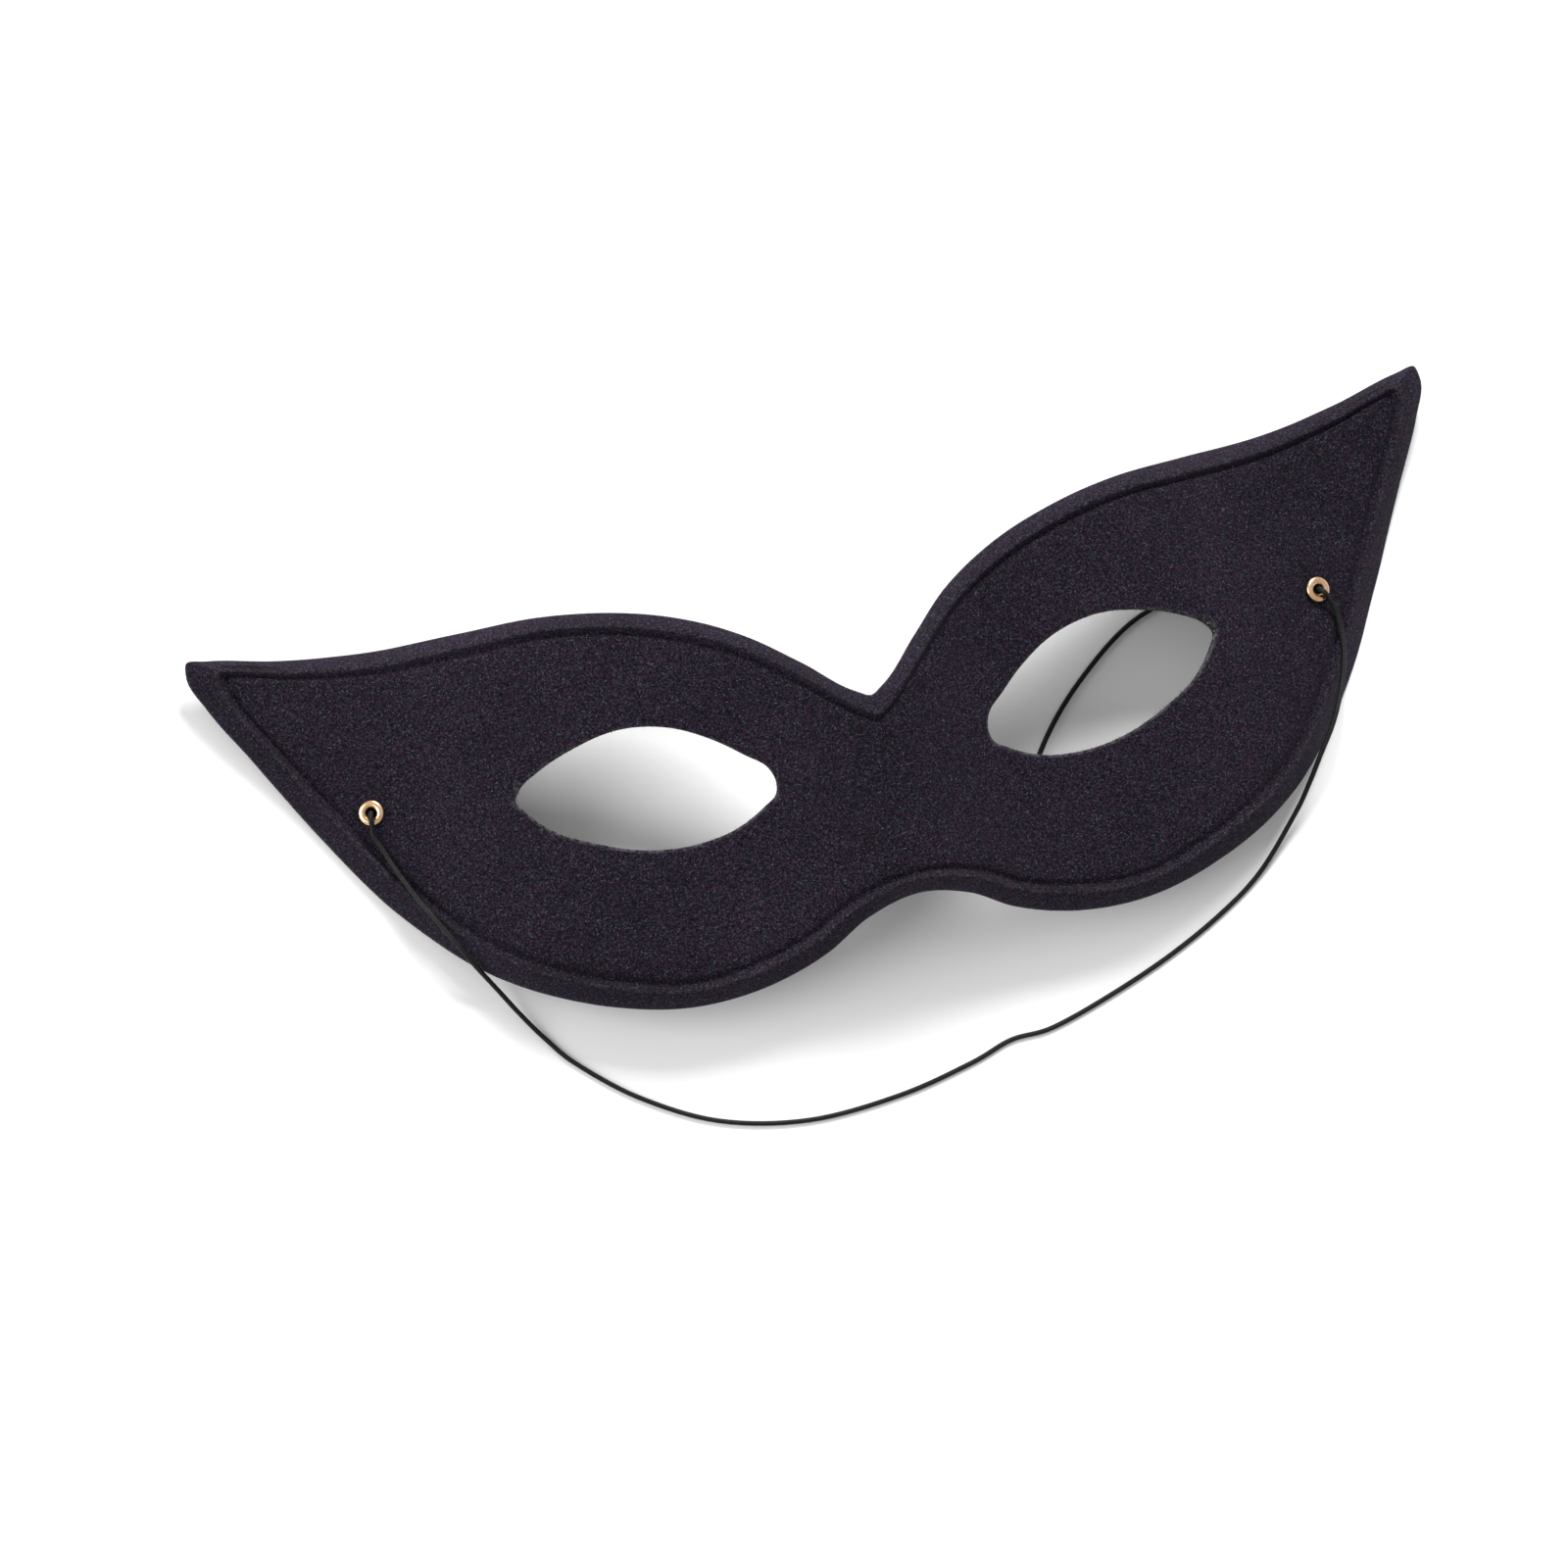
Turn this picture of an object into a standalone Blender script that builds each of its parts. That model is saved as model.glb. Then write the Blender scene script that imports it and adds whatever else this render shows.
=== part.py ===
"""Moulded half-face eye mask lying on its back, with two eyelets and a loose elastic cord."""

import math
from functools import lru_cache

import bmesh
import bpy
import numpy as np
from mathutils import Matrix, Vector

MM = 0.001

# Shell, in millimetres
HALF_SPAN = 102.5
HEIGHT = 72.0
RELIEF_DEPTH = 26.0
WALL = 1.4
BORDER_WIDTH = 4.0
EDGE_DROP = 3.0
BEAD_RISE = 0.25
GROOVE_DEPTH = 0.45
GROOVE_FLANK = 1.3
RIM_STATIONS = 84
MIDLINE_STATIONS = 9

# Lie of the mask on its back: the wall under its lowest edge is cut flat where it rests
REST_TILT_DEG = 10.0
EDGE_OVER_TABLE = 0.28

# Eyeholes, in millimetres from the brow notch to their centre
EYE_OUT = 38.0
EYE_DOWN = 6.3
EYE_HALF_LENGTH = 20.4
EYE_HALF_HEIGHT = 10.3

# Eyelets and their holes, each placed out as a share of HALF_SPAN and up in millimetres
EYELETS = {"left": (-0.775, 0.3), "right": (0.75, -0.7)}
EYELET_HOLE_R = 0.8
EYELET_BARREL_R = 1.3
EYELET_FLANGE_R = 2.05
EYELET_RING = 0.75
EYELET_BACK = 0.3
EYELET_GAP = 0.3
BORE_ROOM = 6.0
TURN_STEPS = 24

# Elastic cord and its knots
CORD_D = 0.8
CORD_CLEAR = 0.32
CORD_POINTS = 80
KNOT_R = 1.25
KNOT_LENGTH = 2.2

# Cord from the left eyelet over the face and rim, round on the table, and back to the right eyelet
# columns: x, y, z
ROUTE = [
    (-80.2, 2.6, 6.1),
    (-79.4, 0.6, 5.8),
    (-78.2, -3.1, 5.8),
    (-76.2, -8.3, 6.1),
    (-74.7, -11.6, 6.6),
    (-73.0, -15.2, 6.8),
    (-71.3, -18.5, 6.4),
    (-69.6, -21.5, 5.2),
    (-66.9, -25.7, 3.2),
    (-64.2, -30.1, 1.6),
    (-61.2, -34.7, 0.6),
    (-57.4, -39.8, 0.4),
    (-49.0, -47.5, 0.4),
    (-37.5, -54.2, 0.4),
    (-23.5, -57.5, 0.4),
    (-8.5, -57.1, 0.4),
    (4.0, -54.8, 0.4),
    (11.2, -52.7, 0.4),
    (18.0, -52.4, 0.4),
    (28.0, -49.7, 0.4),
    (39.0, -45.8, 0.4),
    (48.9, -41.2, 0.4),
    (57.0, -36.1, 0.7),
    (64.6, -28.6, 2.7),
    (67.8, -24.7, 4.4),
    (70.8, -20.5, 6.1),
    (73.7, -16.5, 6.8),
    (75.9, -12.6, 6.5),
    (77.6, -8.9, 5.9),
    (78.8, -5.1, 5.6),
    (79.2, -2.1, 5.6),
    (79.2, 0.5, 6.0),
    (78.9, 2.1, 6.5),
]

# Loose end of the cord behind the mask, from the right knot
# columns: x, y, z
TAIL = [
    (74.4, 6.2, 1.1),
    (71.0, 7.4, 0.5),
    (60.6, 10.3, 0.4),
    (48.5, 8.5, 0.4),
    (36.5, 0.4, 0.4),
    (27.8, -8.9, 0.4),
    (22.9, -18.5, 0.4),
]

# One half of the rim seen square on, and the pressed line inside it
# columns: where, out as a share of HALF_SPAN, up as a share of HEIGHT, then the pressed line
# from the edge, out and up, as shares of BORDER_WIDTH
RIM = [
    ("brow notch", 0.0, 0.0, 0.0, -1.05),
    ("notch corner", 0.02, 0.015, -0.1, -1.1),
    ("notch side", 0.09, 0.105, 0.5, -0.55),
    ("brow start", 0.16, 0.19, 0.45, -0.65),
    ("brow", 0.255, 0.265, 0.4, -0.75),
    ("brow", 0.35, 0.31, 0.2, -0.8),
    ("brow crown", 0.47, 0.34, 0.05, -0.8),
    ("wing top", 0.585, 0.345, 0.0, -0.85),
    ("wing top", 0.72, 0.35, -0.1, -0.85),
    ("wing top", 0.86, 0.38, -0.3, -0.8),
    ("tip top", 0.965, 0.415, -1.15, -0.9),
    ("tip", 0.995, 0.42, -1.4, -0.9),
    ("tip side", 1.0, 0.39, -1.45, -0.65),
    ("wing side", 0.98, 0.31, -1.15, 0.05),
    ("wing side", 0.93, 0.175, -1.0, 0.4),
    ("temple", 0.855, -0.025, -1.05, 0.45),
    ("temple", 0.77, -0.225, -0.95, 0.6),
    ("cheek", 0.645, -0.42, -0.65, 0.85),
    ("cheek", 0.505, -0.53, -0.4, 1.0),
    ("lobe", 0.36, -0.58, -0.1, 0.95),
    ("lobe", 0.245, -0.57, 0.2, 1.0),
    ("nose arch", 0.15, -0.53, 0.45, 0.9),
    ("nose arch", 0.08, -0.475, 0.35, 0.85),
    ("nose arch crown", 0.0, -0.45, 0.0, 0.85),
]

# Eyehole seen square on, from its centre, beginning at the inner corner and over the top
# columns: out as a share of EYE_HALF_LENGTH, up as a share of EYE_HALF_HEIGHT
EYE = [
    (-1.0, -0.35),
    (-0.97, -0.12),
    (-0.81, 0.18),
    (-0.6, 0.52),
    (-0.3, 0.85),
    (0.07, 1.0),
    (0.46, 0.88),
    (0.76, 0.66),
    (0.94, 0.44),
    (0.98, 0.3),
    (0.93, 0.12),
    (0.74, -0.3),
    (0.46, -0.62),
    (0.1, -0.9),
    (-0.3, -1.0),
    (-0.64, -0.9),
    (-0.87, -0.68),
    (-0.98, -0.52),
]

# Relief of the outer face from the midline out to the wing
# columns: out as a share of HALF_SPAN, height as a share of RELIEF_DEPTH
RELIEF = [
    (0.0, 1.0),
    (0.08, 0.93),
    (0.17, 0.77),
    (0.27, 0.68),
    (0.37, 0.64),
    (0.49, 0.57),
    (0.57, 0.48),
    (0.66, 0.32),
    (0.76, 0.16),
    (0.86, 0.06),
    (0.98, 0.03),
    (1.1, 0.04),
]
CHEEK_LIFT = 0.15

# Border section from the edge in to the pressed line
# columns: share of the border, height against the face
BORDER = [
    (0.0, -EDGE_DROP),
    (0.22, -0.58 * EDGE_DROP),
    (0.45, -0.2 * EDGE_DROP),
    (0.68, BEAD_RISE),
    (0.84, 0.1 * BEAD_RISE),
    (1.0, -GROOVE_DEPTH),
]
FACE_RINGS = (0.28, 0.55, 0.8, 1.0)


def clear_scene():
    for item in list(bpy.data.objects):
        bpy.data.objects.remove(item)


def make_collection(name):
    made = bpy.data.collections.new(name)
    bpy.context.scene.collection.children.link(made)
    return made


def make_material(name, color, roughness, metallic=0.0):
    made = bpy.data.materials.new(name)
    made.use_nodes = True
    shader = made.node_tree.nodes["Principled BSDF"]
    shader.inputs["Base Color"].default_value = (*color, 1.0)
    shader.inputs["Roughness"].default_value = roughness
    shader.inputs["Metallic"].default_value = metallic
    return made


def add_object(name, data, target, material=None):
    made = bpy.data.objects.new(name, data)
    target.objects.link(made)
    if material:
        data.materials.append(material)
    return made


def smooth_run(points, count, closed=False):
    """Points spaced evenly along a smooth line through the given ones."""
    knots = np.array(points, float)
    if closed:
        knots = np.vstack([knots[-2:], knots, knots[:3]])
    where = np.concatenate([[0.0], np.cumsum(np.linalg.norm(np.diff(knots, axis=0), axis=1))])
    slope = np.gradient(knots, where, axis=0)
    first, last = (where[2], where[-3]) if closed else (where[0], where[-1])
    fine = np.linspace(first, last, 40 * len(knots))
    line = hermite(where, knots, slope, fine)
    run = np.concatenate([[0.0], np.cumsum(np.linalg.norm(np.diff(line, axis=0), axis=1))])
    wanted = np.linspace(0.0, run[-1], count + 1 if closed else count)
    if closed:
        wanted = wanted[:-1]
    return np.stack([np.interp(wanted, run, line[:, i]) for i in range(line.shape[1])], axis=1)


def hermite(where, values, slope, at):
    place = np.clip(np.searchsorted(where, at, side="right") - 1, 0, len(where) - 2)
    width = where[place + 1] - where[place]
    part = (at - where[place]) / width
    if values.ndim > 1:
        part = part[:, None]
        width = width[:, None]
    blend = 3.0 * part**2 - 2.0 * part**3
    lead = width * slope[place] * (part**3 - 2.0 * part**2 + part)
    trail = width * slope[place + 1] * (part**3 - part**2)
    return values[place] * (1.0 - blend) + values[place + 1] * blend + lead + trail


def face_height(x, y):
    """Height of the outer face, square-on frame."""
    table = np.array(RELIEF) * (HALF_SPAN, RELIEF_DEPTH)
    slope = np.gradient(table[:, 1], table[:, 0])
    slope[0] = 0.0
    outward = np.abs(x)
    lift = CHEEK_LIFT * y * np.clip((outward / HALF_SPAN - 0.2) / 0.4, 0.0, 1.0)
    at = np.atleast_1d(np.clip(outward + lift, 0.0, table[-1, 0]))
    return float(hermite(table[:, 0], table[:, 1], slope, at)[0])


def face_normal(x, y):
    step = 0.2
    across = (face_height(x + step, y) - face_height(x - step, y)) / (2.0 * step)
    along = (face_height(x, y + step) - face_height(x, y - step)) / (2.0 * step)
    return Vector((-across, -along, 1.0)).normalized()


def lean(y, z):
    tilt = math.radians(REST_TILT_DEG)
    return y * math.cos(tilt) - z * math.sin(tilt), y * math.sin(tilt) + z * math.cos(tilt)


@lru_cache(maxsize=None)
def rest_place():
    """Shift that centres the leaning rim, and rise that brings its lowest edge to the table."""
    edge, _ = rim_lines()
    spots = np.array([lean(y, face_height(x, y) - EDGE_DROP) for x, y in edge])
    shift = -(spots[:, 0].min() + spots[:, 0].max()) / 2.0
    return shift, EDGE_OVER_TABLE - spots[:, 1].min()


def to_rest(x, y, z):
    """From the square-on frame to the mask lying on its back, in metres."""
    flat, height = lean(y, z)
    shift, rise = rest_place()
    return Vector((x, flat + shift, height + rise)) * MM


def turn_to_rest(direction):
    return Matrix.Rotation(math.radians(REST_TILT_DEG), 3, "X") @ direction


def rim_lines():
    """Even stations on the edge and, matched to them, on the pressed line."""
    shares = np.array([row[1:] for row in RIM])
    outer = shares[:, :2] * (HALF_SPAN, HEIGHT)
    both = np.hstack([outer, outer + shares[:, 2:] * BORDER_WIDTH])
    where = np.concatenate([[0.0], np.cumsum(np.hypot(*np.diff(outer, axis=0).T))])
    slope = np.gradient(both, where, axis=0)
    for end in (0, -1):
        slope[end, 1] = 0.0
        slope[end, 3] = 0.0
    at = np.linspace(0.0, where[-1], RIM_STATIONS)
    tip = where[[i for i, row in enumerate(RIM) if row[0] == "tip"][0]]
    close = 3.0 * np.exp(-(((at - tip) / 9.0) ** 2))
    at = at + close * np.tanh((tip - at) / 3.0)
    line = hermite(where, both, slope, at)
    line[0, [0, 2]] = 0.0
    line[-1, [0, 2]] = 0.0
    return line[:, :2], line[:, 2:]


def eye_line(stations):
    """Eyehole points that face the given stations."""
    centre = np.array([EYE_OUT, -EYE_DOWN])
    half = np.array([EYE_HALF_LENGTH, EYE_HALF_HEIGHT])
    loop = smooth_run(np.array(EYE) * half + centre, 400, closed=True)
    turn = np.arctan2((loop[:, 1] - centre[1]) / half[1], (loop[:, 0] - centre[0]) / half[0])
    order = np.argsort(turn)
    turn, loop = turn[order], loop[order]
    wanted = np.arctan2(stations[:, 1] - centre[1], stations[:, 0] - centre[0])
    return np.stack([np.interp(wanted, turn, loop[:, i], period=2.0 * math.pi) for i in (0, 1)], axis=1)


def shell_mesh():
    """Outer face of one half: a border strip and a face lofted from the pressed line to the eyehole."""
    edge, line = rim_lines()
    made = bmesh.new()

    def spot(x, y, over):
        normal = face_normal(x, y)
        return made.verts.new(to_rest(x, y, face_height(x, y) + over / max(normal.z, 0.8)))

    rings = []
    for share, over in BORDER:
        rings.append([spot(*(a + (b - a) * share), over) for a, b in zip(edge, line)])
    for outer, inner in zip(rings, rings[1:]):
        for i in range(len(edge) - 1):
            made.faces.new((outer[i], outer[i + 1], inner[i + 1], inner[i]))

    crown, notch = line[-1, 1], line[0, 1]
    shares = np.arange(1, MIDLINE_STATIONS + 1) / (MIDLINE_STATIONS + 1)
    middle = [(0.0, crown + (notch - crown) * share) for share in shares]
    stations = np.vstack([line, middle])
    holes = eye_line(stations)
    ring = rings[-1] + [spot(x, y, 0.0) for x, y in middle]
    for step, share in enumerate((None,) + FACE_RINGS):
        inner = []
        for start, end in zip(stations, holes):
            run = np.linalg.norm(end - start)
            part = share if share is not None else min(GROOVE_FLANK / run, 0.2)
            x, y = start + (end - start) * part
            inner.append(spot(x, y, 0.0))
        for i in range(len(stations)):
            j = (i + 1) % len(stations)
            made.faces.new((ring[i], ring[j], inner[j], inner[i]))
        ring = inner
    bmesh.ops.recalc_face_normals(made, faces=made.faces)
    if sum(face.normal.z for face in made.faces) < 0.0:
        bmesh.ops.reverse_faces(made, faces=made.faces)
    for vert in made.verts:
        if abs(vert.co.x) < 1e-6:
            vert.co.x = 0.0
    mesh = bpy.data.meshes.new("mask_shell")
    made.to_mesh(mesh)
    made.free()
    return mesh


def cylinder_mesh(name, radius, low, high):
    made = bmesh.new()
    size, depth = radius * MM, (high - low) * MM
    bmesh.ops.create_cone(made, cap_ends=True, segments=TURN_STEPS, radius1=size, radius2=size, depth=depth)
    bmesh.ops.translate(made, verts=made.verts, vec=(0.0, 0.0, (high + low) / 2.0 * MM))
    mesh = bpy.data.meshes.new(name)
    made.to_mesh(mesh)
    made.free()
    return mesh


def box_mesh(name, low, high):
    made = bmesh.new()
    bmesh.ops.create_cube(made, size=1.0)
    low, high = Vector(low) * MM, Vector(high) * MM
    for vert in made.verts:
        vert.co = Vector([low[i] + (vert.co[i] + 0.5) * (high[i] - low[i]) for i in range(3)])
    mesh = bpy.data.meshes.new(name)
    made.to_mesh(mesh)
    made.free()
    return mesh


def cut(target, cutter):
    step = target.modifiers.new(cutter.name, "BOOLEAN")
    step.operation = "DIFFERENCE"
    step.solver = "EXACT"
    step.object = cutter


def eyelet_frame(side):
    """Place of an eyelet: on the outer face, its axis square to the face."""
    x, y = EYELETS[side][0] * HALF_SPAN, EYELETS[side][1]
    axis = turn_to_rest(face_normal(x, y))
    turn = axis.to_track_quat("Z", "Y").to_matrix().to_4x4()
    return Matrix.Translation(to_rest(x, y, face_height(x, y))) @ turn


def turned(name, profile, target, material, frame):
    """A closed section at +X turned about its own Z axis."""
    mesh = bpy.data.meshes.new(name)
    spots = [(r * MM, 0.0, z * MM) for r, z in profile]
    sides = [(i, (i + 1) % len(profile)) for i in range(len(profile))]
    mesh.from_pydata(spots, sides, [])
    made = add_object(name, mesh, target, material)
    spin = made.modifiers.new("turn", "SCREW")
    spin.angle = math.tau
    spin.steps = TURN_STEPS
    spin.render_steps = TURN_STEPS
    spin.use_merge_vertices = True
    spin.merge_threshold = 0.00005
    spin.use_normal_calculate = True
    made.matrix_world = frame
    return made


def eyelet_profile():
    """Rolled ring over the face, barrel through the wall, flat flange behind."""
    top = EYELET_GAP
    back = -WALL - EYELET_GAP
    hole, barrel, flange = EYELET_HOLE_R, EYELET_BARREL_R, EYELET_FLANGE_R
    lip = flange - hole
    return [
        (hole + 0.2 * lip, top + 0.93 * EYELET_RING),
        (hole + 0.52 * lip, top + EYELET_RING),
        (hole + 0.84 * lip, top + 0.8 * EYELET_RING),
        (flange, top + 0.4 * EYELET_RING),
        (hole + 0.92 * lip, top),
        (barrel, top),
        (barrel, back),
        (hole + 0.84 * lip, back),
        (hole + 0.84 * lip, back - EYELET_BACK),
        (hole, back - EYELET_BACK),
        (hole, top + 0.53 * EYELET_RING),
    ]


def knot_centre():
    """Place of a knot along its eyelet's axis, clear of the flange behind."""
    return -(WALL + EYELET_GAP + EYELET_BACK + CORD_CLEAR + KNOT_LENGTH / 2.0)


def cord_bend():
    """How the cord comes up through an eyelet and over its ring: out, along the axis."""
    ring = EYELET_GAP + EYELET_RING
    over = ring + CORD_CLEAR + CORD_D / 2.0
    behind = knot_centre() - KNOT_LENGTH / 2.0 - CORD_D / 2.0
    return [
        (0.0, behind),
        (0.0, 0.5 * behind),
        (0.0, 0.0),
        (0.0, ring),
        (0.5 * CORD_D, over - 0.3 * CORD_D),
        (0.54 * EYELET_FLANGE_R, over),
        (1.07 * EYELET_FLANGE_R, over - 0.35 * CORD_D),
    ]


def cord_route():
    """Points of the whole cord, closest together where it bends."""
    stops = {}
    for side, first in (("left", ROUTE[0]), ("right", ROUTE[-1])):
        frame = eyelet_frame(side)
        centre, axis = frame.translation / MM, frame.col[2].to_3d()
        towards = Vector(first) - centre
        towards = (towards - axis * towards.dot(axis)).normalized()
        stops[side] = [tuple(centre + towards * out + axis * along) for out, along in cord_bend()]
    knots = np.array(stops["left"] + ROUTE + stops["right"][::-1] + TAIL)
    where = np.arange(len(knots), dtype=float)
    slope = np.gradient(knots, where, axis=0)
    at = np.linspace(0.0, where[-1], CORD_POINTS)
    line = hermite(where, knots, slope, at)
    line[:, 2] = np.maximum(line[:, 2], CORD_D / 2.0)
    return line * MM


def tube(name, points, diameter, target, material):
    """A round cord along the points, with closed ends."""
    curve = bpy.data.curves.new(name, "CURVE")
    curve.dimensions = "3D"
    curve.bevel_mode = "ROUND"
    curve.bevel_depth = diameter / 2.0 * MM
    curve.bevel_resolution = 2
    curve.use_fill_caps = True
    run = curve.splines.new("POLY")
    run.points.add(len(points) - 1)
    for spot, place in zip(run.points, points):
        spot.co = (*place, 1.0)
    return add_object(name, curve, target, material)


def knot_profile():
    """A plain rounded knot, bored for the cord."""
    half = KNOT_LENGTH / 2.0
    bore = CORD_D / 2.0 + CORD_CLEAR
    wall = KNOT_R - bore
    return [
        (bore + 0.2 * wall, half),
        (KNOT_R - 0.28 * wall, 0.73 * half),
        (KNOT_R, 0.25 * half),
        (KNOT_R, -0.25 * half),
        (KNOT_R - 0.28 * wall, -0.73 * half),
        (bore + 0.2 * wall, -half),
        (bore, -0.86 * half),
        (bore, 0.86 * half),
    ]


def main():
    clear_scene()
    scene = bpy.context.scene
    scene.unit_settings.system = "METRIC"
    parts = make_collection("domino_mask")
    cutters = make_collection("cutters")

    felt = make_material("felt", (0.018, 0.015, 0.021), 0.95)
    brass = make_material("brass", (0.72, 0.46, 0.17), 0.28, 1.0)
    elastic = make_material("elastic", (0.012, 0.012, 0.014), 0.6)

    shell = add_object("mask_shell", shell_mesh(), parts, felt)
    twin = shell.modifiers.new("other half", "MIRROR")
    twin.use_axis = (True, False, False)
    twin.use_clip = True
    twin.merge_threshold = 0.0001
    wall = shell.modifiers.new("wall", "SOLIDIFY")
    wall.thickness = WALL * MM
    wall.offset = -1.0
    wall.use_even_offset = True
    wall.use_quality_normals = True

    reach = 1.3 * HALF_SPAN
    floor = box_mesh("floor_cut", (-reach, -reach, -RELIEF_DEPTH), (reach, reach, 0.0))
    cut(shell, add_object("floor_cut", floor, cutters))

    for side in EYELETS:
        frame = eyelet_frame(side)
        name = "eyelet_cut_" + side
        hole = cylinder_mesh(name, EYELET_BARREL_R + EYELET_GAP, -WALL - BORE_ROOM, BORE_ROOM)
        bore = add_object(name, hole, cutters)
        bore.matrix_world = frame
        cut(shell, bore)
        turned("eyelet_" + side, eyelet_profile(), parts, brass, frame)

        knot = frame @ Matrix.Translation((0.0, 0.0, knot_centre() * MM))
        turned("knot_" + side, knot_profile(), parts, elastic, knot)

    tube("elastic_cord", cord_route(), CORD_D, parts, elastic)

    for item in cutters.objects:
        item.hide_render = True
        item.display_type = "WIRE"


main()
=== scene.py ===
"""Looks for a moulded black eye mask with brass eyelets and a loose elastic cord."""

import math

import bmesh
import bpy
import numpy as np
from mathutils import Matrix, Vector, noise


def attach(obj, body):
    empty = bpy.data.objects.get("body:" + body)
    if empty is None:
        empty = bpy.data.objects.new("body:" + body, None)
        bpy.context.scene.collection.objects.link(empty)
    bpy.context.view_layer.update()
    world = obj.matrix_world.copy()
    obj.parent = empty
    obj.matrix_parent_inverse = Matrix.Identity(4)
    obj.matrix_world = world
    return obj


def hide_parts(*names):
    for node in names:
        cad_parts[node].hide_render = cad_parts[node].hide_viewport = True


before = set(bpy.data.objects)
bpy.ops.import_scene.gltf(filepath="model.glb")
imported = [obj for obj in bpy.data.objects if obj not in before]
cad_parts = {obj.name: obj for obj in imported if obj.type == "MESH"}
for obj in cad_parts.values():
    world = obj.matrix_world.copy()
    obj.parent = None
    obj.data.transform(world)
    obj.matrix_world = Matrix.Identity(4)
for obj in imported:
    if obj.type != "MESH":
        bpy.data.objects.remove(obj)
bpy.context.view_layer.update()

MM = 0.001

# Camera, fitted to the outline: the aim on the mask, angles in degrees, distance and width seen there
AIM = (-0.0149, -0.0055, 0.010)
AZIMUTH = -44.6
ELEVATION = 77.3
ROLL = 30.2
DISTANCE = 5.0
WIDTH_SEEN = 0.2493

# Shell, in millimetres, as the solids have it
HALF_SPAN = 102.5
HEIGHT = 72.0
RELIEF_DEPTH = 26.0
WALL = 1.4
BORDER_WIDTH = 4.0
EDGE_DROP = 3.0
BEAD_RISE = 0.4
GROOVE_DEPTH = 0.65
GROOVE_FLANK = 1.3
REST_TILT_DEG = 10.0
EDGE_OVER_TABLE = 0.28
EYE_OUT = 38.0
EYE_DOWN = 6.3
EYE_HALF_LENGTH = 20.4
EYE_HALF_HEIGHT = 10.3
CHEEK_LIFT = 0.15
RIM_STATIONS = 300
MIDLINE_STATIONS = 30
REST_STATIONS = 84
EYE_STATIONS = 1200
SLOPE_STEP = 0.2
TIP_PULL = 3.0
TIP_REACH = 9.0
TIP_EASE = 3.0
FLANK_MOST = 0.2
BORE_STEPS = 48
BORE_DEPTH = 20.0

# Rolled edge of the eyeholes in millimetres; as shares, wear on the rim's cut edge, painted highlight on the
# bead's crest, and painted highlight with wear along the eyehole lip
HOLE_DROP = 0.12
HOLE_DROP_BEFORE = 0.03
HOLE_WEAR_AND_HIGHLIGHT = 0.8
EDGE_WEAR = 0.35
BEAD_HIGHLIGHT = 0.14
BEAD_TOP_SHARE = 0.85

# Low unevenness of the face
# columns: scale per metre, height in millimetres
UNEVEN = [(38.0, 0.16), (120.0, 0.06)]

# Loose fibres on the cut edges, lengths in millimetres
FIBRES = 3500
FIBRE_SEED = 11
FIBRE_SPREAD = 0.45
FIBRE_HALF_WIDTH = 0.04
FIBRE_SHORTEST = 0.15
FIBRE_LONGEST = 0.55
FIBRE_ROOT_SHARE = 0.3
FIBRE_OVER_TABLE = 0.3

# Eyelets, knots and cord, in millimetres
EYELETS = {"left": (-0.775, 0.3), "right": (0.75, -0.7)}
EYELET_HOLE_R = 0.8
EYELET_BARREL_R = 1.3
EYELET_FLANGE_R = 2.05
EYELET_RING = 0.75
EYELET_BACK = 0.3
EYELET_GAP = 0.3
CORD_D = 0.8
CORD_CLEAR = 0.32
KNOT_R = 1.25
KNOT_LENGTH = 2.2
EYELET_STEPS = 72
RING_STEPS = 16
CORD_STATIONS = 420
KNOT_STATIONS = 90
TUBE_STEPS = 4

# Floor in metres; lights' places and widths in metres, power in watts
FLOOR_REACH = 3.0
# columns: name, place, power, width
LIGHTS = [
    ("key", (0.45, 1.0, 1.0), 27.0, 0.5),
    ("fill", (-1.0, 0.1, 0.6), 10.0, 0.8),
]
WORLD_STRENGTH = 0.55

# Cord from the left eyelet over the face and rim, round on the table, and back to the right eyelet
# columns: x, y, z in metres
ROUTE = [
    (-0.0802, 0.0026, 0.0061),
    (-0.0794, 0.0006, 0.0058),
    (-0.0782, -0.0031, 0.0058),
    (-0.0762, -0.0083, 0.0061),
    (-0.0747, -0.0116, 0.0066),
    (-0.0730, -0.0152, 0.0068),
    (-0.0713, -0.0185, 0.0064),
    (-0.0696, -0.0215, 0.0052),
    (-0.0669, -0.0257, 0.0032),
    (-0.0642, -0.0301, 0.0016),
    (-0.0612, -0.0347, 0.0006),
    (-0.0574, -0.0398, 0.0004),
    (-0.0490, -0.0475, 0.0004),
    (-0.0375, -0.0542, 0.0004),
    (-0.0235, -0.0575, 0.0004),
    (-0.0085, -0.0571, 0.0004),
    (0.0040, -0.0548, 0.0004),
    (0.0112, -0.0527, 0.0004),
    (0.0180, -0.0524, 0.0004),
    (0.0280, -0.0497, 0.0004),
    (0.0390, -0.0458, 0.0004),
    (0.0489, -0.0412, 0.0004),
    (0.0570, -0.0361, 0.0007),
    (0.0646, -0.0286, 0.0027),
    (0.0678, -0.0247, 0.0044),
    (0.0708, -0.0205, 0.0061),
    (0.0737, -0.0165, 0.0068),
    (0.0759, -0.0126, 0.0065),
    (0.0776, -0.0089, 0.0059),
    (0.0788, -0.0051, 0.0056),
    (0.0792, -0.0021, 0.0056),
    (0.0792, 0.0005, 0.0060),
    (0.0789, 0.0021, 0.0065),
]

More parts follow.
